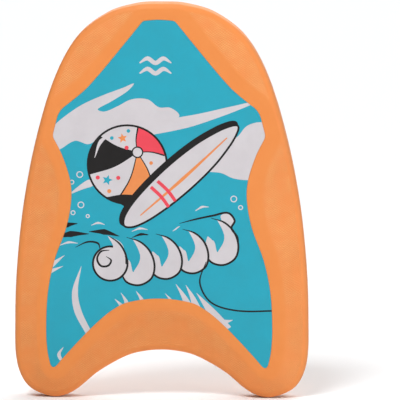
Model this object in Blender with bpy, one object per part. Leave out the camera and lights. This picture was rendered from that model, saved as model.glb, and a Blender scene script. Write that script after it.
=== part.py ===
"""Children's kickboard float: a laminated EVA foam board with a moulded front and an inlaid printed panel.

The board stands on its two tail lobes. +Z runs from tail to nose, +X across the board, and the printed
front faces -Y. The origin is at the middle of the board's thickness and width, level with the lobes.
Sizes are in metres. Outline stations are shares of half the width and of the length, from the nose
round the +X side to the tail, so the board keeps its shape when either size changes.
"""
import math

import bmesh
import bpy
import numpy as np
from mathutils import Vector
from mathutils.geometry import delaunay_2d_cdt, interpolate_bezier

for leftover in list(bpy.data.objects):
    bpy.data.objects.remove(leftover, do_unlink=True)

# ---- Driving sizes -------------------------------------------------------------------------------
LENGTH = 0.400             # tail lobes to nose
WIDTH = 0.2965             # widest place, a fifth of the way up from the tail

FRONT_THICKNESS = 0.0145   # moulded front sheet, at its flat middle
CORE_THICKNESS = 0.0085    # plain middle sheet
BACK_THICKNESS = 0.007     # plain back sheet
GLUE_THICKNESS = 0.0004    # hot-melt film between two foam sheets
GLUE_MARGIN = 0.001        # how far a glue film stays back from the edge of what it joins
GAP = 0.0003               # clearance between pieces that touch

EDGE_RADIUS = 0.005        # rounding of the front and back rims
LEAST_LAND = 0.0005        # straight wall that a rounding always leaves on its sheet

PANEL_THICKNESS = 0.003    # foam inlay that carries the print
PRINT_THICKNESS = 0.0003   # transfer print on the inlay
SHOULDER_FILLET = 0.007    # roundings of the panel's corners, measured back along each side
NECK_FILLET = 0.003
TIP_FILLET = 0.008
CROWN_FILLET = 0.002
PANEL_SHIFT = -0.0022      # the panel and its pocket lie this far to one side of the moulded relief

UPPER_BORDER = 0.0135      # smooth flat border round the panel, nose to waist
LOWER_BORDER = 0.0105      # the same border beside the tail
TAIL_END = 0.30            # share of the length where the border starts to widen
WAIST_START = 0.50         # and where it has its upper width
PAD_SLOPE = 0.26           # fall of the grip pads outside the border
PAD_DROP = 0.0085          # the most that a pad falls below the border

# ---- Outline stations: (share of half the width, share of the length) ------------------------------
BOARD = [
    (0.000, 1.000),        # nose
    (0.160, 0.997),
    (0.366, 0.9735),
    (0.573, 0.9135),
    (0.725, 0.812),
    (0.856, 0.651),
    (0.941, 0.490),
    (0.987, 0.329),
    (1.000, 0.188),        # widest place
    (0.988, 0.086),
    (0.912, 0.027),
    (0.752, 0.000),        # tail lobe
    (0.650, 0.0055),
    (0.568, 0.0225),
    (0.436, 0.063),
    (0.272, 0.098),
    (0.165, 0.112),
    (0.000, 0.119),        # top of the tail arch
]
PANEL_CROWN = [(0.000, 0.960), (0.107, 0.957)]
PANEL_SLANT = [(0.107, 0.957), (0.230, 0.9005), (0.409, 0.820), (0.512, 0.779), (0.679, 0.729)]
PANEL_SHOULDER = [(0.679, 0.729), (0.7215, 0.666)]
PANEL_WAIST = [
    (0.7215, 0.666),
    (0.656, 0.617),
    (0.603, 0.555),
    (0.595, 0.505),
    (0.629, 0.435),
    (0.709, 0.353),
    (0.755, 0.272),
    (0.7685, 0.178),
    (0.7590, 0.118),
    (0.7300, 0.0695),
]
PANEL_ARCH = [
    (0.7300, 0.0695),
    (0.654, 0.103),
    (0.546, 0.147),
    (0.438, 0.188),
    (0.3275, 0.223),
    (0.218, 0.2445),
    (0.000, 0.255),
]

STEPS_PER_STATION = 3      # straight pieces between two stations
FILLET_STEPS = 4
RIM_STEPS = 4              # facets round the rim's quarter circle
RIM_ANGLES = [math.pi / 2 * step / RIM_STEPS for step in range(RIM_STEPS + 1)]
PAD_GRID = 0.011           # spacing of the front face's inner points


# ---- Curves in the board's plane -----------------------------------------------------------------
def neighbour_past(end, inner):
    """Stand-in neighbour past the end of a run: mirrored on the centre line, straight on elsewhere."""
    if end.x == 0.0:
        return Vector((-inner.x, inner.y))
    return 2 * end - inner


def smooth_run(stations):
    """A smooth curve through stations, sized for the board."""
    points = [Vector((x * WIDTH / 2, z * LENGTH)) for x, z in stations]
    chain = [neighbour_past(points[0], points[1]), *points, neighbour_past(points[-1], points[-2])]
    run = [points[0]]
    for before, start, end, after in zip(chain, chain[1:], chain[2:], chain[3:]):
        span = (end - start).length
        leaving = (end - before) * span / (span + (start - before).length) / 3
        arriving = (after - start) * span / (span + (after - end).length) / 3
        run += interpolate_bezier(start, start + leaving, end - arriving, end, STEPS_PER_STATION + 1)[1:]
    return [point.to_2d() for point in run]


def trimmed(run, cut):
    """The run without its last stretch of length cut."""
    run = list(run)
    while cut > (run[-1] - run[-2]).length:
        cut -= (run[-1] - run[-2]).length
        run.pop()
    run[-1] = run[-1].lerp(run[-2], cut / (run[-1] - run[-2]).length)
    return run


def rounded_join(runs, fillets):
    """Runs that meet at corners, joined end to end with each corner rounded off."""
    outline = list(runs[0])
    for run, fillet in zip(runs[1:], fillets):
        corner = run[0]
        outline = trimmed(outline, fillet)
        following = trimmed(run[::-1], fillet)[::-1]
        start, end = outline[-1], following[0]
        bend = interpolate_bezier(start, start.lerp(corner, 0.6), end.lerp(corner, 0.6), end, FILLET_STEPS + 1)
        outline += [point.to_2d() for point in bend[1:-1]] + following
    return outline


def both_sides(half):
    """Closed loop from a half outline that starts and ends on the centre line."""
    return half + [Vector((-point.x, point.y)) for point in half[-2:0:-1]]


def board_loop():
    """The board's outline, stretched so that its extremes are exactly the stated sizes."""
    half = smooth_run(BOARD)
    widest = max(point.x for point in half)
    lowest = min(point.y for point in half)
    stretch = LENGTH / (LENGTH - lowest)
    half = [Vector((point.x * WIDTH / 2 / widest, (point.y - lowest) * stretch)) for point in half]
    return both_sides(half)


def panel_loop():
    """The printed panel's outline: crown, slanted sides, shoulders, waist and tail arch."""
    runs = [smooth_run(part) for part in (PANEL_CROWN, PANEL_SLANT, PANEL_SHOULDER, PANEL_WAIST, PANEL_ARCH)]
    return both_sides(rounded_join(runs, [CROWN_FILLET, SHOULDER_FILLET, NECK_FILLET, TIP_FILLET]))


def shifted(loop, aside):
    """The loop moved sideways."""
    return [Vector((point.x + aside, point.y)) for point in loop]


def offset(loop, distance):
    """The loop moved outwards by distance, or inwards by a negative one."""
    moved = []
    for before, here, after in zip(loop[-1:] + loop[:-1], loop, loop[1:] + loop[:1]):
        arriving = (here - before).normalized()
        along = (arriving + (after - here).normalized()).normalized()
        outward = Vector((-along.y, along.x))
        moved.append(here + outward * distance / max(0.5, along.dot(arriving)))
    return moved


def distance_to(loop, points):
    """Shortest distance from each point to the loop."""
    starts = np.array([tuple(point) for point in loop])
    spans = np.roll(starts, -1, axis=0) - starts
    places = np.array([tuple(point) for point in points])[:, None, :] - starts
    share = np.clip((places * spans).sum(axis=2) / (spans ** 2).sum(axis=1), 0.0, 1.0)
    return np.linalg.norm(places - share[..., None] * spans, axis=2).min(axis=1)


# ---- Levels through the thickness (Y) ---------------------------------------------------------------
JOINT = GLUE_THICKNESS + 2 * GAP
THICKNESS = FRONT_THICKNESS + CORE_THICKNESS + BACK_THICKNESS + 2 * JOINT
FRONT_FACE = -THICKNESS / 2
FRONT_BACK = FRONT_FACE + FRONT_THICKNESS
CORE_FRONT = FRONT_BACK + JOINT
CORE_BACK = CORE_FRONT + CORE_THICKNESS
BACK_FRONT = CORE_BACK + JOINT
BACK_FACE = THICKNESS / 2
PANEL_FRONT = FRONT_FACE + PRINT_THICKNESS + GAP
PANEL_BACK = PANEL_FRONT + PANEL_THICKNESS
POCKET_FLOOR = PANEL_BACK + JOINT


# ---- Meshes ----------------------------------------------------------------------------------------
def ring(mesh, loop, levels):
    """Vertices round a loop; levels is one Y for all of them or one for each."""
    if isinstance(levels, float):
        levels = [levels] * len(loop)
    return [mesh.verts.new((point.x, level, point.y)) for point, level in zip(loop, levels)]


def wall(mesh, first, second):
    """Band of faces between two rings of the same count."""
    for index in range(len(first)):
        following = (index + 1) % len(first)
        mesh.faces.new((first[index], first[following], second[following], second[index]))


def rounding_depth(sheet):
    """How deep a rim's rounding goes: its radius, unless the sheet is too thin for it."""
    return min(EDGE_RADIUS, sheet - LEAST_LAND)


def finish(mesh, name, material):
    """Turn a bmesh into the named object."""
    bmesh.ops.recalc_face_normals(mesh, faces=mesh.faces)
    bmesh.ops.triangulate(mesh, faces=mesh.faces)
    data = bpy.data.meshes.new(name)
    mesh.to_mesh(data)
    mesh.free()
    data.materials.append(material)
    piece = bpy.data.objects.new(name, data)
    bpy.context.scene.collection.objects.link(piece)
    return piece


def plain_sheet(name, loop, front, back, material):
    """A flat sheet with square edges."""
    mesh = bmesh.new()
    near = ring(mesh, loop, front)
    far = ring(mesh, loop, back)
    mesh.faces.new(near)
    mesh.faces.new(far)
    wall(mesh, near, far)
    return finish(mesh, name, material)


def material(name, colour, roughness):
    """A Principled material of one finish."""
    made = bpy.data.materials.new(name)
    made.use_nodes = True
    shader = made.node_tree.nodes["Principled BSDF"]
    shader.inputs["Base Color"].default_value = (*colour, 1.0)
    shader.inputs["Roughness"].default_value = roughness
    shader.inputs["Metallic"].default_value = 0.0
    return made


# ---- The front sheet: flat middle, pocket for the panel, sloping pads and a rounded rim -----------------
def pad_depths(points, relief):
    """How far each point of the front face lies below its flat middle, outside the relief's border."""
    heights = np.array([point.y for point in points]) / LENGTH
    waist = np.clip((heights - TAIL_END) / (WAIST_START - TAIL_END), 0.0, 1.0)
    border = LOWER_BORDER + (UPPER_BORDER - LOWER_BORDER) * waist
    return np.clip((distance_to(relief, points) - border) * PAD_SLOPE, 0.0, PAD_DROP)


def inside(place, loop):
    """True where a line from the place to the right crosses the loop an odd number of times."""
    crossings = 0
    for start, end in zip(loop, loop[1:] + loop[:1]):
        if (start.y > place.y) != (end.y > place.y):
            reach = start.x + (place.y - start.y) / (end.y - start.y) * (end.x - start.x)
            crossings += place.x < reach
    return crossings % 2 == 1


def between(place, rim, pocket):
    """True on the band of foam between the pocket and the rim."""
    return inside(place, rim) and not inside(place, pocket)


def pad_points(rim, pocket, relief):
    """Points that carry the pads' slope: a grid, and a row along the crease between border and pad."""
    columns = np.arange(-WIDTH / 2, WIDTH / 2, PAD_GRID) + PAD_GRID / 2
    rows = np.arange(0.0, LENGTH, PAD_GRID)
    places = [Vector((x, z)) for z in rows for x in columns]
    places += offset(relief, (UPPER_BORDER + LOWER_BORDER) / 2)[::2]
    clear = np.minimum(distance_to(rim, places), distance_to(pocket, places)) > PAD_GRID / 3
    return [place for place, free in zip(places, clear) if free and between(place, rim, pocket)]


def fill_band(mesh, rim, rim_ring, pocket, pocket_ring, places, levels):
    """Triangles between two rings of the front face, through the given places."""
    flat = rim + pocket + places
    vertices = rim_ring + pocket_ring
    vertices += [mesh.verts.new((place.x, level, place.y)) for place, level in zip(places, levels)]
    edges = [(index, (index + 1) % len(rim)) for index in range(len(rim))]
    edges += [(len(rim) + index, len(rim) + (index + 1) % len(pocket)) for index in range(len(pocket))]
    triangles = delaunay_2d_cdt(flat, edges, [], 0, 1e-7)[2]
    for corners in triangles:
        centre = sum((flat[corner] for corner in corners), Vector((0.0, 0.0))) / 3
        if between(centre, rim, pocket):
            mesh.faces.new([vertices[corner] for corner in corners])


def front_sheet(board, relief, panel, look):
    """The moulded sheet: its rim, its back, the pocket for the panel and the sloping face."""
    mesh = bmesh.new()
    rim = offset(board, -EDGE_RADIUS)
    drops = pad_depths(rim, relief).tolist()
    rings = []
    for angle in RIM_ANGLES:
        depths = [drop + rounding_depth(FRONT_THICKNESS - drop) * (1 - math.cos(angle)) for drop in drops]
        loop = offset(board, EDGE_RADIUS * (math.sin(angle) - 1))
        rings.append(ring(mesh, loop, [FRONT_FACE + depth for depth in depths]))
    rings.append(ring(mesh, board, FRONT_BACK))
    for first, second in zip(rings, rings[1:]):
        wall(mesh, first, second)
    mesh.faces.new(rings[-1])

    pocket = offset(panel, GAP)
    mouth = ring(mesh, pocket, FRONT_FACE)
    floor = ring(mesh, pocket, POCKET_FLOOR)
    wall(mesh, mouth, floor)
    mesh.faces.new(floor)

    places = pad_points(rim, pocket, relief)
    levels = [FRONT_FACE + depth for depth in pad_depths(places, relief).tolist()]
    fill_band(mesh, rim, rings[0], pocket, mouth, places, levels)
    return finish(mesh, "front_layer", look)


# ---- The back sheet: flat, with a rounded rim --------------------------------------------------------
def back_sheet(board, look):
    """The plain sheet behind the core: square at its seam, rounded at its free rim."""
    mesh = bmesh.new()
    rings = [ring(mesh, board, BACK_FRONT)]
    for angle in reversed(RIM_ANGLES):
        depth = rounding_depth(BACK_THICKNESS) * (1 - math.cos(angle))
        rings.append(ring(mesh, offset(board, EDGE_RADIUS * (math.sin(angle) - 1)), BACK_FACE - depth))
    mesh.faces.new(rings[0])
    mesh.faces.new(rings[-1])
    for first, second in zip(rings, rings[1:]):
        wall(mesh, first, second)
    return finish(mesh, "back_layer", look)


# ---- The board ----------------------------------------------------------------------------------------
orange_foam = (0.86, 0.31, 0.075)
white_foam = (0.78, 0.78, 0.80)
clear_glue = (0.80, 0.74, 0.60)
sea_print = (0.045, 0.40, 0.52)

board_outline = board_loop()
relief_outline = panel_loop()
panel_outline = shifted(relief_outline, PANEL_SHIFT)
glue_outline = offset(board_outline, -GLUE_MARGIN)

front_sheet(board_outline, relief_outline, panel_outline, material("front_foam", orange_foam, 0.62))
plain_sheet("core_layer", board_outline, CORE_FRONT, CORE_BACK, material("core_foam", orange_foam, 0.66))
back_sheet(board_outline, material("back_foam", orange_foam, 0.62))

plain_sheet(
    "front_glue_film", glue_outline, FRONT_BACK + GAP, CORE_FRONT - GAP, material("front_glue", clear_glue, 0.4)
)
plain_sheet(
    "back_glue_film", glue_outline, CORE_BACK + GAP, BACK_FRONT - GAP, material("back_glue", clear_glue, 0.4)
)
plain_sheet(
    "panel_glue_film", offset(panel_outline, -GLUE_MARGIN), PANEL_BACK + GAP, POCKET_FLOOR - GAP,
    material("panel_glue", clear_glue, 0.4),
)
plain_sheet("print_panel", panel_outline, PANEL_FRONT, PANEL_BACK, material("panel_foam", white_foam, 0.55))
plain_sheet("print_film", panel_outline, FRONT_FACE, PANEL_FRONT - GAP, material("print_ink", sea_print, 0.42))
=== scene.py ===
"""Looks of a child's kickboard float, put together in the order that the board is made.

Three sheets of EVA foam and their glue films come first, then the inlaid panel with its printed inks,
and last the plain studio that the board stands in. Sizes are in metres, apart from the artwork.
"""

import math

import bmesh
import bpy
import numpy as np
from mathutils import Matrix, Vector
from mathutils.geometry import delaunay_2d_cdt, interpolate_bezier


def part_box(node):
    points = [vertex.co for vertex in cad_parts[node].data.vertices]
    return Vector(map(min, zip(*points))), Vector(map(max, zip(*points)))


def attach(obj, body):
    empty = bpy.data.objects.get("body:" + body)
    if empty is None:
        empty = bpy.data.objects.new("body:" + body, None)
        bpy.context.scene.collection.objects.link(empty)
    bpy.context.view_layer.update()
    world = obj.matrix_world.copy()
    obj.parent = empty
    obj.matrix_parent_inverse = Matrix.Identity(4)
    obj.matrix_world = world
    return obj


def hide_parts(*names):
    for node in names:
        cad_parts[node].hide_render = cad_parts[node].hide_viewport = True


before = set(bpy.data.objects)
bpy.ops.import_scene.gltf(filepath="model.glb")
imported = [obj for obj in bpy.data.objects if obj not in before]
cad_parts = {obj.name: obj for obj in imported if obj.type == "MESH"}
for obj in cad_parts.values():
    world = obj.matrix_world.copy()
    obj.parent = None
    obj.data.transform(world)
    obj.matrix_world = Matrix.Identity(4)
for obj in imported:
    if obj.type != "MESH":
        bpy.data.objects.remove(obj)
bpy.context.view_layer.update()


# ==== Core sheet ====================================================================================
# The middle of the sandwich: a plain slab of orange closed-cell EVA foam, sawn to the board's outline
# with square edges. Only its sawn edge shows, all round the side of the board.

core_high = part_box("core_layer")[1]
half_width = core_high.x
length = core_high.z

# The outline's stations, nose to tail arch: (share of half the width, share of the length).
BOARD = [
    (0.000, 1.000),        # nose
    (0.160, 0.997),
    (0.366, 0.9735),
    (0.573, 0.9135),
    (0.725, 0.812),
    (0.856, 0.651),
    (0.941, 0.490),
    (0.987, 0.329),
    (1.000, 0.188),        # widest place
    (0.988, 0.086),
    (0.912, 0.027),
    (0.752, 0.000),        # tail lobe
    (0.650, 0.0055),
    (0.568, 0.0225),
    (0.436, 0.063),
    (0.272, 0.098),
    (0.165, 0.112),
    (0.000, 0.119),        # top of the tail arch
]
BOARD_STEPS = 14           # straight pieces between two stations


def curve_through(chain, steps):
    """A smooth curve from the chain's second point to its last but one; the end points only steer it."""
    run = [chain[1]]
    for before, start, end, after in zip(chain, chain[1:], chain[2:], chain[3:]):
        span = (end - start).length
        leaving = (end - before) * span / (span + (start - before).length) / 3
        arriving = (after - start) * span / (span + (after - end).length) / 3
        run += interpolate_bezier(start, start + leaving, end - arriving, end, steps + 1)[1:]
    return [Vector((place.x, place.y)) for place in run]


def past_the_end(end, inner):
    """Steering point past the end of an outline run: mirrored on the centre line, straight on elsewhere."""
    if end.x == 0.0:
        return Vector((-inner.x, inner.y))
    return 2 * end - inner


def outline_run(stations, steps):
    """A smooth curve through stations, sized for the board."""
    points = [Vector((x * half_width, z * length)) for x, z in stations]
    chain = [past_the_end(points[0], points[1]), *points, past_the_end(points[-1], points[-2])]
    return curve_through(chain, steps)


def both_sides(half):
    """Closed loop from a half outline that starts and ends on the centre line."""
    return half + [Vector((-place.x, place.y)) for place in half[-2:0:-1]]


def board_loop():
    """The board's outline, stretched so that its extremes are exactly the frame's."""
    half = outline_run(BOARD, BOARD_STEPS)
    widest = max(place.x for place in half)
    lowest, highest = min(place.y for place in half), max(place.y for place in half)
    stretch = length / (highest - lowest)
    across = [place.x * half_width / widest for place in half]
    upward = [(place.y - lowest) * stretch for place in half]
    return both_sides([Vector(place) for place in zip(across, upward)])


def offset(loop, distance):
    """The loop moved outwards by distance, or inwards by a negative one."""
    moved = []
    for before, here, after in zip(loop[-1:] + loop[:-1], loop, loop[1:] + loop[:1]):
        arriving = (here - before).normalized()
        along = (arriving + (after - here).normalized()).normalized()
        outward = Vector((-along.y, along.x))
        moved.append(here + outward * distance / max(0.5, along.dot(arriving)))
    return moved


WELD = 0.00001             # corners closer than this become one


def sheet_cutter():
    """Geometry nodes that thicken flat faces: a copy of them moves back, and its rim makes the walls."""
    tree = bpy.data.node_groups.new("sheet_cutter", "GeometryNodeTree")
    tree.interface.new_socket("Faces", in_out="INPUT", socket_type="NodeSocketGeometry")
    tree.interface.new_socket("Thickness", in_out="INPUT", socket_type="NodeSocketFloat")
    tree.interface.new_socket("Finish", in_out="INPUT", socket_type="NodeSocketMaterial")
    tree.interface.new_socket("Sheet", in_out="OUTPUT", socket_type="NodeSocketGeometry")
    given = tree.nodes.new("NodeGroupInput")
    direction = tree.nodes.new("ShaderNodeCombineXYZ")
    direction.inputs["Y"].default_value = 1.0
    extrude = tree.nodes.new("GeometryNodeExtrudeMesh")
    extrude.mode = "FACES"
    extrude.inputs["Individual"].default_value = False
    turned = tree.nodes.new("GeometryNodeFlipFaces")
    joined = tree.nodes.new("GeometryNodeJoinGeometry")
    merged = tree.nodes.new("GeometryNodeMergeByDistance")
    merged.inputs["Distance"].default_value = WELD
    realized = tree.nodes.new("GeometryNodeRealizeInstances")
    finished = tree.nodes.new("GeometryNodeSetMaterial")
    result = tree.nodes.new("NodeGroupOutput")
    for source, target in (
        (given.outputs["Faces"], extrude.inputs["Mesh"]),
        (direction.outputs["Vector"], extrude.inputs["Offset"]),
        (given.outputs["Thickness"], extrude.inputs["Offset Scale"]),
        (given.outputs["Faces"], turned.inputs["Mesh"]),
        (extrude.outputs["Mesh"], joined.inputs["Geometry"]),
        (turned.outputs["Mesh"], joined.inputs["Geometry"]),
        (joined.outputs["Geometry"], merged.inputs["Geometry"]),
        (merged.outputs["Geometry"], realized.inputs["Geometry"]),
        (realized.outputs["Geometry"], finished.inputs["Geometry"]),
        (given.outputs["Finish"], finished.inputs["Material"]),
        (finished.outputs["Geometry"], result.inputs["Sheet"]),
    ):
        tree.links.new(source, target)
    return tree


cutter_tree = sheet_cutter()
cutter_inputs = {
    item.name: item.identifier for item in cutter_tree.interface.items_tree if item.in_out == "INPUT"
}


def cut_sheet(name, places, faces, front, back, finish):
    """A closed sheet from flat faces in the board's plane, given clockwise as the front shows them."""
    flat = bpy.data.meshes.new(name)
    flat.from_pydata([(place.x, front, place.y) for place in places], [], faces)
    piece = bpy.data.objects.new(name, flat)
    bpy.context.scene.collection.objects.link(piece)
    cutter = piece.modifiers.new("cutter", "NODES")
    cutter.node_group = cutter_tree
    cutter[cutter_inputs["Thickness"]] = back - front
    cutter[cutter_inputs["Finish"]] = finish
    evaluated = piece.evaluated_get(bpy.context.evaluated_depsgraph_get())
    solid = bpy.data.meshes.new_from_object(evaluated)
    piece.modifiers.remove(cutter)
    piece.data = solid
    solid.name = name
    return piece


def cut_outline(name, loop, front, back, finish):
    """A closed sheet with one outline, which runs clockwise."""
    return cut_sheet(name, loop, [list(range(len(loop)))], front, back, finish)


def new_group(name, inputs, outputs):
    """A shader node group with float or vector inputs, float outputs, and its two end nodes."""
    tree = bpy.data.node_groups.new(name, "ShaderNodeTree")
    for label, value in inputs.items():
        kind = "NodeSocketFloat" if isinstance(value, float) else "NodeSocketVector"
        socket = tree.interface.new_socket(label, in_out="INPUT", socket_type=kind)
        if kind == "NodeSocketFloat":
            socket.default_value = value
    for label in outputs:
        tree.interface.new_socket(label, in_out="OUTPUT", socket_type="NodeSocketFloat")
    return tree, tree.nodes.new("NodeGroupInput"), tree.nodes.new("NodeGroupOutput")


def maths(tree, operation, first, second=None):
    """A Math node on sockets or plain numbers; returns its result."""
    made = tree.nodes.new("ShaderNodeMath")
    made.operation = operation
    for socket, value in zip(made.inputs, (first, second)):
        if value is None:
            continue
        if isinstance(value, (int, float)):
            socket.default_value = value
        else:
            tree.links.new(value, socket)
    return made.outputs["Value"]


def remapped(tree, value, low, high, to_low, to_high):
    """The value's range from low to high, spread over another range and held inside it."""
    made = tree.nodes.new("ShaderNodeMapRange")
    tree.links.new(value, made.inputs["Value"])
    for label, number in (("From Min", low), ("From Max", high), ("To Min", to_low), ("To Max", to_high)):
        made.inputs[label].default_value = number
    return made.outputs["Result"]


PIT_SHARE = 0.45           # how much the cells count in the skin's height beside the soft waves


def axis_part(tree, vector, axis):
    """What a vector holds along one axis."""
    made = tree.nodes.new("ShaderNodeSeparateXYZ")
    tree.links.new(vector, made.inputs["Vector"])
    return made.outputs[axis]


def noise(tree, vector, scale, detail, roughness=0.5):
    """Soft noise over the vector, from 0 to 1 and mostly near the middle."""
    made = tree.nodes.new("ShaderNodeTexNoise")
    tree.links.new(vector, made.inputs["Vector"])
    for label, number in (("Scale", scale), ("Detail", detail), ("Roughness", roughness)):
        made.inputs[label].default_value = number
    return made.outputs["Fac"]


def cell_skin_group():
    """Fine pitted skin of closed-cell foam: small round cells under a soft unevenness."""
    tree, given, result = new_group("cell_skin", {"Vector": None, "Cell Size": 0.0006}, ["Height", "Patches"])
    frequency = maths(tree, "DIVIDE", 1.0, given.outputs["Cell Size"])
    in_cells = tree.nodes.new("ShaderNodeVectorMath")
    in_cells.operation = "SCALE"
    tree.links.new(given.outputs["Vector"], in_cells.inputs[0])
    tree.links.new(frequency, in_cells.inputs["Scale"])
    cells = tree.nodes.new("ShaderNodeTexVoronoi")
    cells.feature = "SMOOTH_F1"
    tree.links.new(in_cells.outputs["Vector"], cells.inputs["Vector"])
    cells.inputs["Scale"].default_value = 1.0
    cells.inputs["Smoothness"].default_value = 0.6
    waves = noise(tree, in_cells.outputs["Vector"], 0.16, 2.0)
    patches = noise(tree, given.outputs["Vector"], 42.0, 3.0, 0.6)
    pits = maths(tree, "MULTIPLY", cells.outputs["Distance"], PIT_SHARE)
    tree.links.new(maths(tree, "ADD", pits, waves), result.inputs["Height"])
    tree.links.new(patches, result.inputs["Patches"])
    return tree


cell_skin = cell_skin_group()


GRAIN_PITCH = 0.0023       # from one row of grain to the next
ROW_SLANT = 0.7            # rise of a row for each step across the board
ROW_WAVER = 0.006          # how far the rows wander
DIAMOND_POWER = 0.7        # under 1, so the diamonds have broad tops


def moulded_grain_group():
    """Grip grain that the mould presses into the foam: wavy rows of small diamonds, uneven in height."""
    tree, given, result = new_group("moulded_grain", {"Vector": None, "Pitch": GRAIN_PITCH}, ["Height"])
    wander = noise(tree, given.outputs["Vector"], 60.0, 2.0)
    turns = maths(tree, "DIVIDE", math.pi, given.outputs["Pitch"])
    waver = maths(tree, "MULTIPLY", wander, ROW_WAVER)
    across = maths(tree, "MULTIPLY", axis_part(tree, given.outputs["Vector"], "X"), ROW_SLANT)
    upward = maths(tree, "ADD", axis_part(tree, given.outputs["Vector"], "Z"), waver)
    rows = []
    for slant in ("ADD", "SUBTRACT"):
        place = maths(tree, slant, upward, across)
        rows.append(maths(tree, "ABSOLUTE", maths(tree, "SINE", maths(tree, "MULTIPLY", place, turns))))
    diamonds = maths(tree, "POWER", maths(tree, "MULTIPLY", *rows), DIAMOND_POWER)
    uneven = remapped(tree, wander, 0.35, 0.65, 0.45, 1.0)
    tree.links.new(maths(tree, "MULTIPLY", diamonds, uneven), result.inputs["Height"])
    return tree


moulded_grain = moulded_grain_group()


def place_group(tree, group, **values):
    """A node of that group in a material, with its values; returns the node."""
    made = tree.nodes.new("ShaderNodeGroup")
    made.node_tree = group
    coordinates = tree.nodes.new("ShaderNodeTexCoord")
    tree.links.new(coordinates.outputs["Object"], made.inputs["Vector"])
    for label, value in values.items():
        made.inputs[label.replace("_", " ")].default_value = value
    return made


def mixed_colour(tree, factor, first, second):
    """A colour that goes from first to second as factor goes from 0 to 1; each is a colour or a socket."""
    made = tree.nodes.new("ShaderNodeMix")
    made.data_type = "RGBA"
    factor_in, first_in, second_in = made.inputs[0], made.inputs[6], made.inputs[7]
    tree.links.new(factor, factor_in)
    for socket, value in ((first_in, first), (second_in, second)):
        if isinstance(value, tuple):
            socket.default_value = (*value, 1.0)
        else:
            tree.links.new(value, socket)
    return made.outputs[2]


FOAM_ORANGE = (0.848, 0.270, 0.056)    # smooth skin
FOAM_DEEP = (0.805, 0.225, 0.038)      # denser patches and pits
FOAM_SIDE_SHADE = (0.620, 0.205, 0.045)   # painted shade: the long sides darker, as they catch less light than the face
SIDE_SHADE_SHARE = 0.8                    # how much of that painted shade they take,
SIDE_SHADE_FACING = (0.40, 0.90)          # growing with how far they face sideways
GRAIN_CREST_SHEEN = (0.930, 0.455, 0.150)    # painted sheen: the grain's crests paler, as grained skin catches more light
GRAIN_VALLEY = (0.870, 0.240, 0.047)
SHEEN_AT_TAIL = 0.6                     # share of the grain's painted sheen that shows near the tail
SHEEN_RISE = (0.06, 0.30)               # heights over which it grows to 1, as the upper pads catch more light
GRAIN_HEIGHT = 0.00042
SKIN_HEIGHT = 0.00003
SKIN_RANGE = (0.3, 1.0)                # where most of the skin's heights lie, before they are scaled


def new_finish(name):
    """A material; returns it, its node tree and its shader."""
    made = bpy.data.materials.new(name)
    made.use_nodes = True
    return made, made.node_tree, made.node_tree.nodes["Principled BSDF"]


def add_bump(tree, shader, height, distance):
    """Lets a height shape the shader's surface; the distance is how far a height of one rises."""
    bump = tree.nodes.new("ShaderNodeBump")
    bump.inputs["Distance"].default_value = distance
    tree.links.new(height, bump.inputs["Height"])
    tree.links.new(bump.outputs["Normal"], shader.inputs["Normal"])


def skin_tone(tree, skin, patchiness, pitting):
    """How far a colour goes towards its second one, in the skin's patches and by its height."""
    patches = remapped(tree, skin.outputs["Patches"], 0.35, 0.65, 0.0, patchiness)
    pits = remapped(tree, skin.outputs["Height"], *SKIN_RANGE, 0.0, pitting)
    return maths(tree, "ADD", patches, pits)


def foam_material(name, roughness):
    """Orange EVA foam: mottled colour, a pitted skin, and moulded grain where the grain attribute says, with
    painted sheen on the grained pads and painted shade on the sides.
    """
    made, tree, shader = new_finish(name)
    skin = place_group(tree, cell_skin, Cell_Size=0.0007)
    grain = place_group(tree, moulded_grain, Pitch=GRAIN_PITCH)
    where = tree.nodes.new("ShaderNodeAttribute")
    where.attribute_name = "grain"
    raised = maths(tree, "MULTIPLY", grain.outputs["Height"], where.outputs["Fac"])

    # Painted sheen: where the grain attribute says, the pads take a paler colour, palest on the crests.
    rise = axis_part(tree, tree.nodes.new("ShaderNodeTexCoord").outputs["Object"], "Z")
    # The share of painted sheen grows with height, weakest at the tail, as the upper pads catch more light.
    pale = remapped(tree, rise, *SHEEN_RISE, SHEEN_AT_TAIL, 1.0)
    grain_sheen = mixed_colour(tree, grain.outputs["Height"], GRAIN_VALLEY, GRAIN_CREST_SHEEN)
    pad_sheen_colour = mixed_colour(tree, maths(tree, "MULTIPLY", where.outputs["Fac"], pale), FOAM_ORANGE, grain_sheen)
    mottled = mixed_colour(tree, skin_tone(tree, skin, 0.22, 0.12), pad_sheen_colour, FOAM_DEEP)
    # Painted shade: faces that look sideways go towards a darker orange, as the sides catch less light.
    sideways = axis_part(tree, tree.nodes.new("ShaderNodeNewGeometry").outputs["Normal"], "X")
    side_shade = remapped(tree, maths(tree, "ABSOLUTE", sideways), *SIDE_SHADE_FACING, 0.0, SIDE_SHADE_SHARE)
    tree.links.new(mixed_colour(tree, side_shade, mottled, FOAM_SIDE_SHADE), shader.inputs["Base Color"])
    rough = remapped(tree, skin.outputs["Patches"], 0.3, 0.7, roughness - 0.04, roughness + 0.04)
    tree.links.new(rough, shader.inputs["Roughness"])

    grain_metres = maths(tree, "MULTIPLY", raised, GRAIN_HEIGHT)
    skin_metres = maths(tree, "MULTIPLY", skin.outputs["Height"], SKIN_HEIGHT)
    add_bump(tree, shader, maths(tree, "ADD", grain_metres, skin_metres), 1.0)
    shader.inputs["Specular IOR Level"].default_value = 0.5
    shader.inputs["Sheen Weight"].default_value = 0.06
    shader.inputs["Sheen Roughness"].default_value = 0.6
    return made


board = board_loop()

SEAM = 0.00005             # what stays open between a foam sheet and the glue on it
front_glue_low, front_glue_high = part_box("front_glue_film")
back_glue_low, back_glue_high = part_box("back_glue_film")

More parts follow.
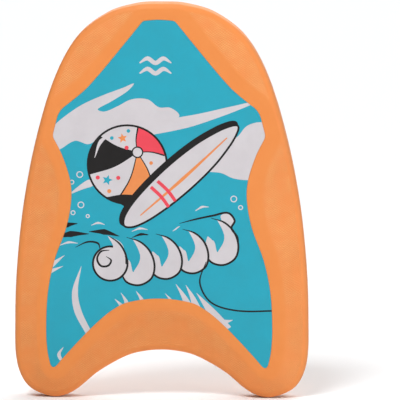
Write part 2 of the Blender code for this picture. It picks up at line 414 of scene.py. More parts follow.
core_sheet = cut_outline(
    "core_sheet", board, front_glue_high.y + SEAM, back_glue_low.y - SEAM, foam_material("sawn_foam", 0.66)
)
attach(core_sheet, "root")
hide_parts("core_layer")


# ==== Back sheet ====================================================================================
# A thinner EVA sheet glued behind the core. Its free rim is rounded in the mould, and its plain back
# takes the same fine grain as the grip pads, fading out before the rim.

back_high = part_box("back_layer")[1]
EDGE_RADIUS = 0.005        # rounding of the front and back rims
RIM_STEPS = 12
GRAIN_FADE = 0.003         # width over which the grain fades in, from the back's rim or the front's border
SHARP_ANGLE = math.radians(40)


def ring(verts, loop, levels):
    """Adds a loop at one Y or at one for each place; returns the numbers of its vertices."""
    if isinstance(levels, float):
        levels = [levels] * len(loop)
    first = len(verts)
    verts += [(place.x, level, place.y) for place, level in zip(loop, levels)]
    return range(first, len(verts))


def wall(faces, first, second):
    """Adds the band of faces between two rings of the same count."""
    for index, (near, far) in enumerate(zip(first, second)):
        following = (index + 1) % len(first)
        faces.append((near, first[following], second[following], far))


def foam_shell(name, verts, faces, grain, finish):
    """The closed mesh as an object, faces outward, with its grain attribute."""
    data = bpy.data.meshes.new(name)
    data.from_pydata(verts, [], faces)
    shell = bmesh.new()
    shell.from_mesh(data)
    bmesh.ops.recalc_face_normals(shell, faces=shell.faces)
    shell.to_mesh(data)
    shell.free()
    data.attributes.new("grain", "FLOAT", "POINT").data.foreach_set("value", np.array(grain, np.float32))
    data.shade_smooth()
    data.set_sharp_from_angle(angle=SHARP_ANGLE)
    data.materials.append(finish)
    piece = bpy.data.objects.new(name, data)
    bpy.context.scene.collection.objects.link(piece)
    return piece


def build_back_sheet():
    """Square seam, rounded rim, and a flat back whose grain starts a little way in."""
    verts, faces = [], []
    rings = [ring(verts, board, back_glue_high.y + SEAM)]
    for step in range(RIM_STEPS, -1, -1):
        angle = math.pi / 2 * step / RIM_STEPS
        loop = offset(board, EDGE_RADIUS * (math.sin(angle) - 1))
        rings.append(ring(verts, loop, back_high.y - EDGE_RADIUS * (1 - math.cos(angle))))
    rings.append(ring(verts, offset(board, -EDGE_RADIUS - GRAIN_FADE), back_high.y))
    faces.append(rings[0])
    faces.append(rings[-1])
    for first, second in zip(rings, rings[1:]):
        wall(faces, first, second)
    grain = [0.0] * (len(verts) - len(board)) + [1.0] * len(board)
    return foam_shell("back_sheet", verts, faces, grain, foam_material("back_foam", 0.62))


back_sheet = build_back_sheet()
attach(back_sheet, "root")
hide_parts("back_layer")


# ==== Front sheet ===================================================================================
# The thick moulded EVA sheet: a flat middle with a pocket for the panel, a smooth border round it, and
# grip pads with a fine grain that slope down from a soft crease to the rounded rim.

front_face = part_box("front_layer")[0].y
panel_low, panel_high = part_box("print_panel")
panel_glue_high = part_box("panel_glue_film")[1]
film_low, film_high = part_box("print_film")
panel_middle = (panel_low.x + panel_high.x) / 2

# The panel's outline from the nose round one side, run by run, in the same shares as the board's.
PANEL_CROWN = [(0.000, 0.960), (0.107, 0.957)]
PANEL_SLANT = [(0.107, 0.957), (0.230, 0.9005), (0.409, 0.820), (0.512, 0.779), (0.679, 0.729)]
PANEL_SHOULDER = [(0.679, 0.729), (0.7215, 0.666)]
PANEL_WAIST = [
    (0.7215, 0.666),
    (0.656, 0.617),
    (0.603, 0.555),
    (0.595, 0.505),
    (0.629, 0.435),
    (0.709, 0.353),
    (0.755, 0.272),
    (0.7685, 0.178),
    (0.7590, 0.118),
    (0.7300, 0.0695),
]
PANEL_ARCH = [
    (0.7300, 0.0695),
    (0.654, 0.103),
    (0.546, 0.147),
    (0.438, 0.188),
    (0.3275, 0.223),
    (0.218, 0.2445),
    (0.000, 0.255),
]
PANEL_STEPS = 8
FILLETS = [0.002, 0.007, 0.003, 0.008]     # crown, shoulder, neck and tip, measured back along each side
FILLET_PULL = 0.6          # how far a fillet is drawn towards its corner
FILLET_STEPS = 8

UPPER_BORDER = 0.0135      # smooth flat border round the panel, nose to waist
LOWER_BORDER = 0.0105      # the same border beside the tail
TAIL_END = 0.30            # share of the length where the border starts to widen
WAIST_START = 0.50         # and where it has its upper width
PAD_SLOPE = 0.26
PAD_DROP = 0.0085          # the most that a pad falls below the border
CREASE_SOFTNESS = 0.0006   # how softly the border bends into a pad
DROP_SOFTNESS = 0.0004     # how softly a pad levels out at its lowest
FACE_GRID = 0.0017         # spacing of the places that carry the face
FACE_CLEAR = 0.45          # share of it kept free beside the rim and the pocket
RIM_START = math.radians(35)   # the front rim leaves the pads at a slant, not level
RIM_FADE = 0.001           # width over which the pads' grain fades out at the rim
POCKET_GAP = 0.00012       # the inlay sits tight in its pocket
POCKET_EDGE = 0.00035      # small rounding of the pocket's mouth
POCKET_BEND = 0.3          # share of it at the rounding's middle
BATCH = 1500               # places measured at a time


def trimmed(run, cut):
    """The run without its last stretch of length cut."""
    run = list(run)
    while cut > (run[-1] - run[-2]).length:
        cut -= (run[-1] - run[-2]).length
        run.pop()
    run[-1] = run[-1].lerp(run[-2], cut / (run[-1] - run[-2]).length)
    return run


def panel_loop():
    """The panel's outline on the board's centre line, its corners rounded off."""
    parts = (PANEL_CROWN, PANEL_SLANT, PANEL_SHOULDER, PANEL_WAIST, PANEL_ARCH)
    runs = [outline_run(part, PANEL_STEPS) for part in parts]
    half = list(runs[0])
    for run, fillet in zip(runs[1:], FILLETS):
        corner = run[0]
        half = trimmed(half, fillet)
        following = trimmed(run[::-1], fillet)[::-1]
        start, end = half[-1], following[0]
        handles = start.lerp(corner, FILLET_PULL), end.lerp(corner, FILLET_PULL)
        bend = interpolate_bezier(start, *handles, end, FILLET_STEPS + 1)
        half += [Vector((place.x, place.y)) for place in bend[1:-1]] + following
    return both_sides(half)


def in_batches(measure, places):
    """What measure gives for the places, a batch at a time."""
    array = np.array([(place.x, place.y) for place in places])
    return np.concatenate([measure(array[first:first + BATCH]) for first in range(0, len(array), BATCH)])


def distance_to(loop, places):
    """Shortest distance from each place to the loop."""
    starts = np.array([(place.x, place.y) for place in loop])
    spans = np.roll(starts, -1, axis=0) - starts

    def measure(batch):
        away = batch[:, None, :] - starts
        share = np.clip((away * spans).sum(axis=2) / (spans ** 2).sum(axis=1), 0.0, 1.0)
        return np.linalg.norm(away - share[..., None] * spans, axis=2).min(axis=1)

    return in_batches(measure, places)


def inside(loop, places):
    """Whether a line from each place to the right crosses the loop an odd number of times."""
    starts = np.array([(place.x, place.y) for place in loop])
    ends = np.roll(starts, -1, axis=0)
    rise = ends[:, 1] - starts[:, 1]
    lean = (ends[:, 0] - starts[:, 0]) / np.where(rise == 0.0, 1.0, rise)

    def measure(batch):
        x, z = batch[:, 0:1], batch[:, 1:2]
        crosses = (starts[:, 1] > z) != (ends[:, 1] > z)
        reach = starts[:, 0] + (z - starts[:, 1]) * lean
        return (crosses & (x < reach)).sum(axis=1) % 2 == 1

    return in_batches(measure, places)


def soft_ramp(amount, softness):
    """Zero below zero and the amount above it, with a soft bend between."""
    return softness * np.logaddexp(0.0, amount / softness)


relief = panel_loop()
panel = [Vector((place.x + panel_middle, place.y)) for place in relief]
pocket = offset(panel, POCKET_GAP)
rim = offset(board, -EDGE_RADIUS)


def past_crease(places):
    """How far each place lies outside the crease between border and pad."""
    shares = np.array([place.y for place in places]) / length
    waist = np.clip((shares - TAIL_END) / (WAIST_START - TAIL_END), 0.0, 1.0)
    return distance_to(relief, places) - (LOWER_BORDER + (UPPER_BORDER - LOWER_BORDER) * waist)


def pad_drops(places):
    """How far the face lies below its flat middle at each place."""
    fall = PAD_SLOPE * soft_ramp(past_crease(places), CREASE_SOFTNESS)
    return PAD_DROP - soft_ramp(PAD_DROP - fall, DROP_SOFTNESS)


def face_places(mouth):
    """Places that carry the face between the pocket and the rim: a grid that keeps clear of both."""
    columns = np.arange(-half_width, half_width, FACE_GRID) + FACE_GRID / 2
    rows = np.arange(0.0, length, FACE_GRID)
    places = [Vector((x, z)) for z in rows for x in columns]
    places = [place for place, used in zip(places, inside(rim, places) & ~inside(mouth, places)) if used]
    clear = np.minimum(distance_to(rim, places), distance_to(mouth, places)) > FACE_GRID * FACE_CLEAR
    return [place for place, free in zip(places, clear) if free]


def grain_shares(places):
    """How much of the mould's grain each place takes: none on the border, all of it on the pads."""
    beyond = np.clip(past_crease(places) / GRAIN_FADE, 0.0, 1.0)
    within = np.clip(distance_to(rim, places) / RIM_FADE, 0.0, 1.0)
    return (beyond * within).tolist()


def build_front_sheet():
    """Rim, square seam, pocket, and the face between pocket and rim."""
    verts, faces = [], []
    rings = []
    rim_drops = pad_drops(rim)
    for step in range(RIM_STEPS + 1):
        angle = RIM_START + (math.pi / 2 - RIM_START) * step / RIM_STEPS
        across = (math.sin(angle) - math.sin(RIM_START)) / (1 - math.sin(RIM_START))
        depths = rim_drops + EDGE_RADIUS * (1 - math.cos(angle) / math.cos(RIM_START))
        rings.append(ring(verts, offset(board, EDGE_RADIUS * (across - 1)), (front_face + depths).tolist()))
    rings.append(ring(verts, board, front_glue_low.y - SEAM))
    for first, second in zip(rings, rings[1:]):
        wall(faces, first, second)
    faces.append(rings[-1])

    mouth = offset(pocket, POCKET_EDGE)
    edge = ring(verts, mouth, front_face)
    bend = POCKET_EDGE * POCKET_BEND
    half_way = ring(verts, offset(pocket, bend), front_face + bend)
    lip = ring(verts, pocket, front_face + POCKET_EDGE)
    floor = ring(verts, pocket, panel_glue_high.y + SEAM)
    for first, second in ((edge, half_way), (half_way, lip), (lip, floor)):
        wall(faces, first, second)
    faces.append(floor)

    places = face_places(mouth)
    flat = rim + mouth + places
    spread = ring(verts, places, (front_face + pad_drops(places)).tolist())
    numbers = [*rings[0], *edge, *spread]
    loops = [(index, (index + 1) % len(rim)) for index in range(len(rim))]
    loops += [(len(rim) + index, len(rim) + (index + 1) % len(mouth)) for index in range(len(mouth))]
    triangles = delaunay_2d_cdt(flat, loops, [], 0, 1e-8)[2]
    centres = [(flat[a] + flat[b] + flat[c]) / 3 for a, b, c in triangles]
    used = inside(rim, centres) & ~inside(mouth, centres)
    faces += [[numbers[corner] for corner in corners] for corners, kept in zip(triangles, used) if kept]

    grain = [0.0] * (len(verts) - len(places)) + grain_shares(places)
    return foam_shell("front_sheet", verts, faces, grain, foam_material("moulded_foam", 0.62))


front_sheet = build_front_sheet()
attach(front_sheet, "root")
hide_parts("front_layer")


# ==== Glue films ====================================================================================
# Clear hot-melt films that bond the three sheets and the panel. They melt under the press, so each is
# a fraction of a millimetre thick and shows only as a thin amber line along a seam.

GLUE_INSET = 0.0002        # how far a film stays back from the sawn edge
GLUE_CLEAR = (0.80, 0.42, 0.16)
GLUE_AMBER = (0.66, 0.27, 0.07)


def skinned_material(name, colours, cells, tone, roughness, height=SKIN_HEIGHT, shine=0.5):
    """A material whose two colours, roughness and surface follow a skin with cells of the given size."""
    made, tree, shader = new_finish(name)
    skin = place_group(tree, cell_skin, Cell_Size=cells)
    tree.links.new(mixed_colour(tree, skin_tone(tree, skin, *tone), *colours), shader.inputs["Base Color"])
    rough = remapped(tree, skin.outputs["Height"], *SKIN_RANGE, *roughness)
    tree.links.new(rough, shader.inputs["Roughness"])
    add_bump(tree, shader, skin.outputs["Height"], height)
    shader.inputs["Specular IOR Level"].default_value = shine
    return made


# Glue squeezed into foam: amber, a little glossy, and uneven along the seam.
hot_melt = skinned_material(
    "hot_melt", (GLUE_CLEAR, GLUE_AMBER), cells=0.0015, tone=(1.0, 0.0), roughness=(0.28, 0.45),
    height=0.00005,
)
for name, node, outline in (
    ("front_glue", "front_glue_film", offset(board, -GLUE_INSET)),
    ("back_glue", "back_glue_film", offset(board, -GLUE_INSET)),
    ("panel_glue", "panel_glue_film", offset(panel, -GLUE_INSET)),
):
    low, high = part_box(node)
    film = cut_outline(name, outline, low.y, high.y, hot_melt)
    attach(film, "root")
    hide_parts(node)


# ==== Panel =========================================================================================
# A thin inlay of smooth white EVA, die-cut to the panel's outline and pressed flush into the pocket.
# Its face carries the print, so the white foam shows only as a hair line round it.

PANEL_WHITE = (0.80, 0.79, 0.79)
PANEL_SHADE = (0.70, 0.69, 0.69)

white_inlay = skinned_material(
    "white_inlay", (PANEL_WHITE, PANEL_SHADE), cells=0.0005, tone=(0.5, 0.0), roughness=(0.5, 0.6)
)
panel_foam = cut_outline("panel_foam", panel, film_high.y + SEAM, panel_high.y, white_inlay)
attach(panel_foam, "root")
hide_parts("print_panel")


# ==== Print =========================================================================================
# A transfer print of flat inks on the panel: sea blue, pale grey, black, coral and orange. It shows a
# beach ball and a surfboard on a breaking wave. Each ink lies beside the others, and none overlap.
#
# The artwork is drawn in hundredths of the panel's width, from the middle of the panel's lowest edge.

artwork_unit = (panel_high.x - panel_low.x) / 100
artwork_origin = Vector((panel_middle, panel_low.z))
CURVE_STEPS = 7            # straight pieces between two drawn points
ROUND_STEPS = 48           # straight pieces round a full circle
artwork = []               # (ink, outline), bottom to top


def drawn(points):
    """Drawn points as vectors."""
    return [Vector(point) for point in points]


def fill(ink, outline):
    """Lays an ink over what is drawn so far."""
    artwork.append((ink, outline))


def smooth_shape(points):
    """Closed smooth outline through drawn points."""
    points = drawn(points)
    return curve_through([points[-1], *points, points[0], points[1]], CURVE_STEPS)[:-1]


def disc(centre, radius):
    """Circle round a drawn point."""
    x, z = centre
    turns = [math.tau * step / ROUND_STEPS for step in range(ROUND_STEPS)]
    return [Vector((x + radius * math.cos(turn), z + radius * math.sin(turn))) for turn in turns]


def brush(points, widths):
    """Outline of a brush stroke along drawn points, as wide at each as widths say."""
    points = drawn(points)
    chain = [2 * points[0] - points[1], *points, 2 * points[-1] - points[-2]]
    line = curve_through(chain, CURVE_STEPS)
    spread = np.interp(np.linspace(0, len(widths) - 1, len(line)), range(len(widths)), widths) / 2
    left, right = [], []
    for index, here in enumerate(line):
        along = (line[min(index + 1, len(line) - 1)] - line[max(index - 1, 0)]).normalized()
        side = Vector((-along.y, along.x)) * float(spread[index])
        left.append(here + side)
        right.append(here - side)
    return left + right[::-1]


def outlined(shape, thickness):
    """A pale shape with a black line round it."""
    fill("black", grown(shape, thickness))
    fill("pale", shape)


def grown(shape, distance):
    """The shape's outline moved outward, whichever way round it runs."""
    area = sum(here.cross(after) for here, after in zip(shape, shape[1:] + shape[:1]))
    return offset(shape, -distance if area > 0 else distance)


# Sky: drifting clouds with flat streaks, and two short wave marks under the nose.
fill("pale", smooth_shape([
    (-52, 101), (-46, 108), (-40, 113), (-33, 117.5), (-24, 121.5), (-16, 124.5), (-11, 126.5), (-14, 123),
    (-21, 118.5), (-27, 115), (-24, 114), (-18, 116.5), (-12, 119.5), (-5, 119.5), (0, 116), (5, 115.8),
    (9, 112.5), (6, 109.5), (-4, 107.5), (-16, 104.5), (-25, 103), (-31, 99.5), (-37, 101), (-44, 97),
    (-52, 94),
]))
fill("pale", brush([(-14, 105), (12, 109.5), (30, 114.5), (47, 120)], [6.5, 5.2, 3.0, 0.2]))
fill("pale", brush([(33, 127.5), (39, 129.0), (47, 132.6)], [0.2, 1.6, 2.4]))
fill("pale", smooth_shape([
    (52, 106), (46, 109.5), (39, 108), (34.5, 103), (29, 100), (24, 95), (14, 91), (6, 88.5), (16, 87.5),
    (27, 87), (33, 84.5), (41, 84), (52, 88),
]))
fill("pale", brush([(-40, 77), (-31, 82), (-20, 85)], [0.2, 3.4, 1.0]))
for rise in (0.0, 4.6):
    fill("pale", brush([
        (-8.5, 131 + rise), (-5.0, 133 + rise), (-1.5, 131 + rise), (2.0, 133 + rise), (5.5, 131 + rise),
    ], [0.6, 1.9, 1.9, 1.9, 0.5]))

# Beach ball: six panels that meet at a cap, with a black line round it and between them.
BALL = Vector((-14.0, 90.5))
BALL_RADIUS = 17.0
BALL_CAP = Vector((-9.5, 96.0))            # where the panels meet
BALL_INKS = ["coral", "pale", "black", "pale", "orange", "pale"]
BALL_TURN = math.radians(14)
SEAM_BOW = 0.13            # share of a seam's length that it bows aside
SEAM_STEPS = 8
ARC_STEPS = 10             # straight pieces of a panel's outer edge
LINE = 0.9                 # width of a drawn outline
STAR_NOTCH = 0.45          # how far out a star's inner corners lie, as a share of its points


def ball_seam(turn):
    """Bowed seam from the ball's cap to its edge."""
    edge = BALL + BALL_RADIUS * Vector((math.cos(turn), math.sin(turn)))
    middle = (edge + BALL_CAP) / 2
    across = Vector((-(edge - BALL_CAP).y, (edge - BALL_CAP).x))
    bow = middle + across * SEAM_BOW
    shares = [step / SEAM_STEPS for step in range(SEAM_STEPS + 1)]
    return [BALL_CAP.lerp(bow, share).lerp(bow.lerp(edge, share), share) for share in shares]


def star(centre, radius, turn):
    """Five-pointed star."""
    reach = [radius, radius * STAR_NOTCH] * 5
    turns = [turn + math.tau * step / 10 for step in range(10)]
    return [Vector(centre) + far * Vector((math.cos(way), math.sin(way))) for far, way in zip(reach, turns)]


fill("black", disc(BALL, BALL_RADIUS + LINE))
seam_turns = [BALL_TURN + math.tau * index / len(BALL_INKS) for index in range(len(BALL_INKS) + 1)]
for ink, first_turn, last_turn in zip(BALL_INKS, seam_turns, seam_turns[1:]):
    arc = [first_turn + (last_turn - first_turn) * step / ARC_STEPS for step in range(ARC_STEPS + 1)]
    edge = [BALL + BALL_RADIUS * Vector((math.cos(turn), math.sin(turn))) for turn in arc]
    fill(ink, ball_seam(first_turn)[:-1] + edge + ball_seam(last_turn)[-2:0:-1])
for turn in seam_turns[:-1]:
    seam = ball_seam(turn)
    fill("black", brush([tuple(seam[0]), tuple(seam[SEAM_STEPS // 2]), tuple(seam[-1])], [0.4, 0.5, 0.7]))
outlined(disc(BALL_CAP, 2.0), 0.6)
BALL_STARS = [             # ink, share of the ball's radius from its middle, direction in degrees, size
    ("orange", 0.70, 100, 2.2),
    ("sea", 0.66, 218, 2.4),
]
BALL_DOTS = [
    ("sea", 0.88, 88, 0.8),
    ("coral", 0.44, 92, 0.9),
    ("sea", 0.80, 120, 0.8),
    ("coral", 0.84, 204, 0.9),
    ("orange", 0.84, 236, 0.9),
    ("coral", 0.42, 236, 0.9),
    ("orange", 0.62, 4, 0.8),
]


def on_ball(share, turn):
    """A place on the ball: a share of its radius from its middle, and a direction in degrees."""
    return BALL + BALL_RADIUS * share * Vector((math.cos(math.radians(turn)), math.sin(math.radians(turn))))


for ink, share, turn, size in BALL_STARS:
    fill(ink, star(on_ball(share, turn), size, math.radians(turn)))
for ink, share, turn, size in BALL_DOTS:
    fill(ink, disc(on_ball(share, turn), size))
fill("pale", brush([(-28.4, 93.5), (-25.6, 100.8), (-19.4, 104.9)], [0.2, 1.7, 0.2]))

# Surfboard: white deck, black rail and fin, orange stringer.
TAIL = Vector((-15.0, 63.5))
NOSE = Vector((34.5, 107.5))
DECK_STATIONS = [          # share of the length, and half the width there
    (0.0, 0.0), (0.05, 3.0), (0.2, 5.4), (0.45, 6.6), (0.7, 5.9), (0.88, 3.7), (0.97, 1.6), (1.0, 0.0),
]


def along_board(share, aside):
    """A place on the surfboard: a share of its length from the tail, and a distance to its left."""
    along = NOSE - TAIL
    return tuple(TAIL + along * share + Vector((-along.y, along.x)).normalized() * aside)


def deck(shift):
    """The surfboard's outline, moved to its left."""
    left = [along_board(share, half + shift) for share, half in DECK_STATIONS]
    right = [along_board(share, shift - half) for share, half in DECK_STATIONS[-2:0:-1]]
    return smooth_shape(left + right)


def board_stroke(ink, stations, widths):
    """A brush stroke through places on the surfboard, given as along_board takes them."""
    fill(ink, brush([along_board(*station) for station in stations], widths))


board_stroke("black", [(0.16, 3.0), (0.10, 9.5), (0.035, 14.5)], [8.5, 4.5, 0.3])
fill("black", grown(deck(1.6), 1.3))
outlined(deck(0.0), LINE)
board_stroke("orange", [(0.12, -1.2), (0.5, -1.4), (0.90, -0.7)], [0.5, 1.5, 0.5])
for share in (0.30, 0.36):
    board_stroke("coral", [(share, 5.2), (share + 0.008, -1.0), (share, -6.6)], [1.5] * 3)

# Water: dark ripples behind the ball, then the breaking wave with its foam.
RIPPLES = [                # ink, ends and greatest width of each
    ("black", (-47.0, 57.6), (-31.0, 59.6), 2.8),
    ("black", (-45.0, 61.0), (-36.0, 64.2), 2.2),
    ("black", (-31.0, 60.6), (-17.5, 58.6), 2.6),
    ("black", (-12.0, 58.0), (-4.0, 59.2), 1.2),
    ("pale", (-44.0, 54.4), (-36.0, 55.4), 1.0),
    ("pale", (-30.0, 63.4), (-24.0, 63.8), 1.0),
    ("pale", (-12.0, 60.8), (-5.0, 61.6), 1.0),
    ("pale", (6.0, 61.0), (12.0, 62.6), 1.0),
    ("pale", (16.0, 70.0), (22.0, 71.8), 1.0),
]
for ink, start, end, width in RIPPLES:
    middle = ((start[0] + end[0]) / 2, (start[1] + end[1]) / 2 + 0.9)
    fill(ink, brush([start, middle, end], [0.2, width, 0.2]))

CLAW = [
    (-5.0, 13.0), (1.0, 11.2), (5.4, 6.8), (7.2, 0.8), (5.8, -4.6), (0.8, -7.4), (-4.6, -6.0), (-7.2, -1.0),
    (-6.4, 4.0), (-4.2, 9.0),
]
CLAW_BACK = [
    (-4.6, 13.0), (1.2, 11.1), (5.5, 6.8), (7.3, 0.8), (5.9, -4.6), (0.8, -7.5), (-4.7, -6.1), (-7.3, -1.0),
]
HOLLOW = [(-1.8, -1.8), (-1.4, 4.4), (-7.8, 12.6)]
CREST = [                  # where each claw of foam lies, from the right, and its size
    ((27.6, 53.6), 1.02),
    ((14.8, 49.4), 0.96),
    ((3.0, 47.0), 0.98),
    ((-9.6, 44.6), 1.04),
]


def on_crest(points, place, size):
    """Drawn points of one claw, put in their place on the crest."""
    return [(place[0] + x * size, place[1] + z * size) for x, z in points]


fill("pale", smooth_shape([
    (35.0, 53.0), (34.4, 58.0), (32.0, 62.2), (33.2, 65.8), (30.4, 69.0), (27.2, 67.8), (28.4, 63.0),
    (24.0, 56.0),
]))
for place, size in CREST:
    fill("pale", smooth_shape(on_crest(CLAW, place, size)))
    fill("sea", brush(on_crest(HOLLOW, place, size), [0.4, 5.6 * size, 10.0 * size]))
    fill("black", brush(on_crest(CLAW_BACK, place, size), [0.2, 0.8] + [LINE] * 5 + [0.5]))
fill("black", brush([
    (35.0, 54.0), (34.6, 58.4), (32.0, 62.4), (33.4, 65.8), (30.4, 69.2), (24.0, 68.0), (16.5, 66.4),
    (9.0, 64.4),
], [0.5, 0.9, 0.9, 0.9, 0.9, 0.9, 0.8, 0.2]))
outlined(disc((-21.6, 46.4), 7.2), LINE)
fill("pale", brush([(-18.6, 50.0), (-18.4, 54.4), (-22.6, 58.6)], [8.0, 4.2, 0.1]))
fill("black", brush([(-14.4, 46.2), (-14.8, 50.6), (-17.6, 55.4), (-22.4, 58.8)], [0.9, 0.9, 0.8, 0.2]))
fill("black", brush([(-37.0, 53.6), (-31.6, 56.0), (-27.0, 55.4), (-26.0, 52.4)], [0.2, 0.8, 0.9, 0.2]))
fill("black", brush([
    (-22.0, 52.4), (-25.6, 51.8), (-27.4, 48.6), (-25.8, 45.4), (-22.6, 45.4), (-21.2, 47.8), (-23.4, 49.6),
], [0.3, 0.8, 0.9, 0.9, 0.9, 0.8, 0.2]))

# Leash: one thin line from the wave to the panel's edge.
fill("black", brush([
    (20.8, 47.4), (18.0, 38.0), (23.0, 29.2), (34.5, 25.6), (52.0, 25.6),
], [0.3] + [0.75] * 4))

# Splashes over the arch, spray drops beside the surfboard, and pale strokes at the left.
SPLASHES = [               # root, tip and width at the root of each
    ((-15.6, 26.0), (-19.6, 30.6), 2.6),
    ((-13.8, 27.0), (-16.9, 33.4), 2.6),
    ((-6.8, 28.0), (-10.2, 34.2), 2.6),
    ((6.2, 28.4), (2.6, 33.2), 1.8),
    ((13.2, 27.0), (7.4, 37.4), 3.6),
    ((16.8, 26.0), (11.8, 37.0), 3.8),
    ((29.0, 16.4), (16.6, 33.4), 7.0),
    ((24.0, 20.0), (32.6, 21.4), 4.0),
]
for root, tip, width in SPLASHES:
    lean = ((root[0] + tip[0]) / 2 + 0.5, (root[1] + tip[1]) / 2 - 0.2)
    fill("pale", brush([root, lean, tip], [width, width * 0.55, 0.1]))
fill("pale", brush([(-34.4, 45.2), (-37.2, 34.0), (-36.0, 25.2), (-31.0, 15.0)], [0.1, 2.6, 3.2, 2.6]))
fill("pale", brush([(-42.4, 9.0), (-44.4, 5.6), (-42.6, 2.0)], [0.1, 1.6, 1.2]))
fill("pale", brush([(-47.6, 45.6), (-41.8, 50.0)], [2.4, 0.1]))
fill("pale", brush([(-48.6, 42.6), (-42.4, 45.2)], [2.0, 0.1]))
DROP_LINE = 0.45           # width of the pale line round a drop
for centre, radius in (
    ((-35.0, 86.0), 1.5), ((-38.5, 82.6), 1.1), ((33.0, 75.4), 1.5), ((36.0, 71.6), 1.1),
    ((-34.5, 72.5), 1.5), ((-38.0, 69.0), 1.1), ((-31.5, 67.5), 0.9),
):
    fill("pale", disc(centre, radius))
    fill("sea", disc(centre, radius - DROP_LINE))


def ink_faces():
    """Splits the panel along every outline; each ink gets the triangles where it is the top one."""
    sheet_edge = [(place - artwork_origin) / artwork_unit for place in panel]
    places = list(sheet_edge)
    edges = [(index, (index + 1) % len(places)) for index in range(len(places))]
    for ink, outline in artwork:
        first = len(places)
        places += outline
        edges += [(first + index, first + (index + 1) % len(outline)) for index in range(len(outline))]
    cut = delaunay_2d_cdt(places, edges, [], 0, 1e-4)
    places, triangles = [Vector(place) for place in cut[0]], cut[2]
    centres = [(places[a] + places[b] + places[c]) / 3 for a, b, c in triangles]
    on_panel = inside(sheet_edge, centres)
    top = np.where(on_panel, "sea", "none").astype(object)
    for ink, outline in artwork:
        top[on_panel & inside(outline, centres)] = ink
    return places, triangles, top


INKS = {                   # colour and its shade where the ink lies thinner on the foam's skin
    "sea": ((0.018, 0.385, 0.520), (0.022, 0.352, 0.470)),
    "pale": ((0.660, 0.625, 0.650), (0.610, 0.575, 0.600)),
    "black": ((0.007, 0.006, 0.006), (0.012, 0.010, 0.010)),
    "coral": ((0.860, 0.070, 0.105), (0.780, 0.062, 0.090)),
    "orange": ((0.850, 0.290, 0.090), (0.780, 0.250, 0.075)),
}

ink_places, ink_triangles, top_ink = ink_faces()
board_places = [artwork_origin + place * artwork_unit for place in ink_places]
for ink, colours in INKS.items():
    faces = [tuple(reversed(corners)) for corners, top in zip(ink_triangles, top_ink) if top == ink]
    used = sorted({corner for corners in faces for corner in corners})
    number = {corner: index for index, corner in enumerate(used)}
    faces = [tuple(number[corner] for corner in corners) for corners in faces]
    places = [board_places[corner] for corner in used]
    finish = skinned_material(
        ink + "_ink", colours, cells=0.0009, tone=(0.6, 0.3), roughness=(0.44, 0.54), shine=0.3
    )
    layer = cut_sheet("print_" + ink, places, faces, film_low.y, film_high.y, finish)
    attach(layer, "root")
    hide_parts("print_film")


# ==== Studio ========================================================================================
# A wide flat floor of white paper, under four large far lamps: a key from the upper left, one from the
# right, and two from behind that whiten the paper. Three small soft boxes stand close by.

FLOOR_RADIUS = 14.0
FLOOR_DROP = 0.0002                    # the paper lies this far under the tail lobes
PAPER_WHITE = (0.89, 0.91, 0.92)       # the paper as it is seen
PAPER_BOUNCE = (0.82, 0.82, 0.82)      # what the paper throws back onto the board
SKY_WHITE = 1.1                        # past the paper's end all is white, and it lights nothing


def floor_material():
    """Matt white paper, which throws less light onto the board than it shows."""
    made, tree, seen = new_finish("studio_paper")
    seen.inputs["Base Color"].default_value = (*PAPER_WHITE, 1.0)
    seen.inputs["Roughness"].default_value = 0.9
    seen.inputs["Specular IOR Level"].default_value = 0.1
    bounce = tree.nodes.new("ShaderNodeBsdfDiffuse")
    bounce.inputs["Color"].default_value = (*PAPER_BOUNCE, 1.0)
    path = tree.nodes.new("ShaderNodeLightPath")
    chosen = tree.nodes.new("ShaderNodeMixShader")
    tree.links.new(path.outputs["Is Camera Ray"], chosen.inputs["Fac"])
    tree.links.new(bounce.outputs["BSDF"], chosen.inputs[1])
    tree.links.new(seen.outputs["BSDF"], chosen.inputs[2])
    tree.links.new(chosen.outputs["Shader"], tree.nodes["Material Output"].inputs["Surface"])
    return made


floor_mesh = bpy.data.meshes.new("studio_floor")
floor_shape = bmesh.new()
bmesh.ops.create_circle(floor_shape, cap_ends=True, segments=96, radius=FLOOR_RADIUS)
bmesh.ops.translate(floor_shape, verts=floor_shape.verts, vec=(0.0, 0.0, -FLOOR_DROP))
floor_shape.to_mesh(floor_mesh)
floor_shape.free()
floor_mesh.materials.append(floor_material())
studio_floor = bpy.data.objects.new("studio_floor", floor_mesh)
bpy.context.scene.collection.objects.link(studio_floor)

MIDDLE = Vector((0.0, 0.0, length / 2))


def out_from(azimuth, elevation):
    """The direction out from the board at so many degrees to the right of its front, and up."""
    side, rise = math.radians(azimuth), math.radians(elevation)
    return Vector((math.sin(side) * math.cos(rise), -math.cos(side) * math.cos(rise), math.sin(rise)))


def hang_light(data, place):
    """Puts a light at its place, facing the middle of the board."""
    light = bpy.data.objects.new(data.name, data)
    light.location = place
    light.rotation_euler = (MIDDLE - place).to_track_quat("-Z", "Y").to_euler()
    bpy.context.scene.collection.objects.link(light)


def far_light(name, azimuth, elevation, spread, strength):
    """A large far lamp: degrees to the right of the front and up, its width in degrees, its strength."""
    data = bpy.data.lights.new(name, "SUN")
    data.angle = math.radians(spread)
    data.energy = strength
    hang_light(data, MIDDLE + out_from(azimuth, elevation))


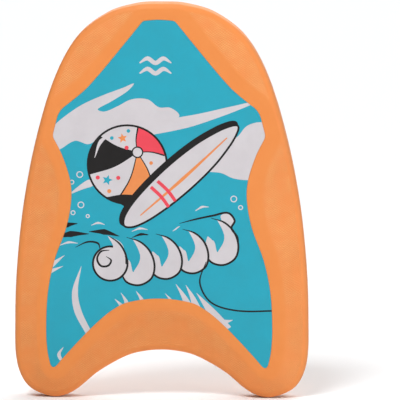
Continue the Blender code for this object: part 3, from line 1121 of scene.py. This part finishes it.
def soft_box(name, place, size, power):
    """A square soft box close to the board."""
    data = bpy.data.lights.new(name, "AREA")
    data.size = size
    data.energy = power
    hang_light(data, Vector(place))


far_light("key", -27, 55, 20, 1.56)
far_light("back", 180, 30, 60, 1.78)
far_light("back_right", 120, 60, 60, 1.32)
far_light("right", 70, 12, 40, 0.60)
soft_box("right_box", (1.0, -0.9, 0.25), 0.6, 3.6)
soft_box("front_box", (0.0, -0.8, 1.1), 0.8, 1.5)
soft_box("left_box", (-0.5, -0.4, 1.1), 0.6, 2.0)

world = bpy.data.worlds.new("studio")
world.use_nodes = True
sky = world.node_tree.nodes["Background"]
sky_path = world.node_tree.nodes.new("ShaderNodeLightPath")
sky_strength = world.node_tree.nodes.new("ShaderNodeMath")
sky_strength.operation = "MULTIPLY"
sky_strength.inputs[1].default_value = SKY_WHITE
sky.inputs["Color"].default_value = (1.0, 1.0, 1.0, 1.0)
world.node_tree.links.new(sky_path.outputs["Is Camera Ray"], sky_strength.inputs[0])
world.node_tree.links.new(sky_strength.outputs["Value"], sky.inputs["Strength"])
bpy.context.scene.world = world
bpy.context.scene.view_settings.view_transform = "Standard"

# The camera stands far back with a long lens, a little to the right and above.
CAMERA_AZIMUTH = 1.8       # degrees
CAMERA_ELEVATION = 7.5
CAMERA_DISTANCE = 6.0
FRAME_WIDTH = 0.4032       # width of view at the board
AIM_ASIDE = 0.0385         # the view's middle lies this far to the right of the board's

camera_data = bpy.data.cameras.new("camera")
camera_data.sensor_width = 36.0
camera_data.lens = camera_data.sensor_width * CAMERA_DISTANCE / FRAME_WIDTH
camera_data.clip_end = 60.0
camera = bpy.data.objects.new("camera", camera_data)
towards = -out_from(CAMERA_AZIMUTH, CAMERA_ELEVATION)
aside = out_from(CAMERA_AZIMUTH + 90, 0)
camera.location = MIDDLE + aside * AIM_ASIDE - towards * CAMERA_DISTANCE
camera.rotation_euler = towards.to_track_quat("-Z", "Y").to_euler()
bpy.context.scene.collection.objects.link(camera)
bpy.context.scene.camera = camera
